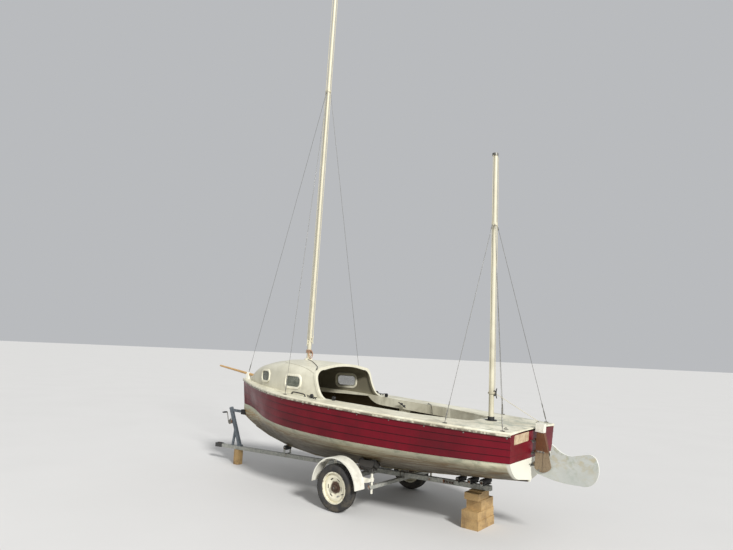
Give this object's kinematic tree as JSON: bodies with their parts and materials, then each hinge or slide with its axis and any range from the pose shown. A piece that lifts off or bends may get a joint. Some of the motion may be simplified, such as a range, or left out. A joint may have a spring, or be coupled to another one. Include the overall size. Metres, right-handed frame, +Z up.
{
  "type": "sailing dinghy on a road trailer",
  "caption": "Small open sailing dinghy with a lapped-strake hull, an open-backed cuddy, two stayed masts and a lifting rudder, on a single-axle road trailer.",
  "frame": {"origin": "on the ground, under the middle of the whole's bounding box", "axes": "+X forward to the bow, +Y to port, +Z up"},
  "size_m": [6.4509, 1.8724, 8.2129],
  "materials": {
    "red_gelcoat": "weathered dark red gelcoat",
    "cream_gelcoat": "cream-white gelcoat, chalky",
    "window_glass": "dark tinted pane",
    "alloy": "pale anodised",
    "stainless": "satin",
    "varnished_wood": "worn varnish",
    "white_paint": "chalky white paint",
    "pale_blade": "pale grey moulded laminate with faint green stains",
    "galvanised": "dull galvanised with rust patches",
    "cast_coupling": "dark, rusty",
    "tyre_rubber": "dusty black",
    "black_rubber": "weathered black",
    "sawn_timber": "rough sawn, weathered"
  },
  "bodies": {
    "boat_and_trailer": {"aft_bulkhead": "cream_gelcoat", "axle_tube": "galvanised", "bow_snubber": "black_rubber", "bowsprit": "varnished_wood", "bowsprit_chock": "stainless", "centreplate_case": "cream_gelcoat", "chainplates": "stainless", "cockpit_liner": "cream_gelcoat", "coupling_head": "cast_coupling", "cuddy": "cream_gelcoat", "cuddy_panes": "window_glass", "deck_moulding": "cream_gelcoat", "forestay": "stainless", "front_block": "sawn_timber", "hull_bottom": "cream_gelcoat", "hull_topsides": "red_gelcoat", "keel_rollers": "black_rubber", "main_mast": "alloy", "main_shrouds": "stainless", "mast_step": "alloy", "mizzen_collar": "cream_gelcoat", "mizzen_mast": "alloy", "mizzen_stays": "stainless", "mudguard_brackets": "galvanised", "mudguards": "white_paint", "roller_brackets": "galvanised", "rudder_gudgeons": "stainless", "side_pads": "black_rubber", "side_props": "white_paint", "support_crossbar": "galvanised", "suspension_arms": "galvanised", "tail_block_1": "sawn_timber", "tail_block_2": "sawn_timber", "tail_block_3": "sawn_timber", "tail_block_4": "sawn_timber", "tail_slab": "sawn_timber", "thwart": "cream_gelcoat", "trailer_beam": "galvanised", "turnbuckles": "stainless", "winch_post": "galvanised"},
    "wheel_port": {"tyre_port": "tyre_rubber", "wheel_rim_port": "white_paint", "wheel_hub_port": "cast_coupling"},
    "wheel_starboard": {"tyre_starboard": "tyre_rubber", "wheel_rim_starboard": "white_paint", "wheel_hub_starboard": "cast_coupling"},
    "rudder": {"rudder_stock": "varnished_wood", "rudder_head": "white_paint"},
    "blade": {"rudder_blade": "pale_blade"}
  },
  "joints": [
    {"name": "wheel_port_spin", "type": "hinge", "parent": "boat_and_trailer", "child": "wheel_port", "pos_m": [-0.35841, 0.8375, 0.281], "axis": [0, 1, 0], "continuous": true},
    {"name": "wheel_starboard_spin", "type": "hinge", "parent": "boat_and_trailer", "child": "wheel_starboard", "pos_m": [-0.35841, -0.8375, 0.281], "axis": [0, 1, 0], "continuous": true},
    {"name": "rudder_swing", "type": "hinge", "parent": "boat_and_trailer", "child": "rudder", "pos_m": [-2.54189, 0, 0.92854], "axis": [-0.0737, 0, 0.9973], "range_deg": [-38, 38]},
    {"name": "blade_lift", "type": "hinge", "parent": "rudder", "child": "blade", "pos_m": [-2.59484, 0, 0.73611], "axis": [0, -1, 0], "range_deg": [0, 80]}
  ]
}
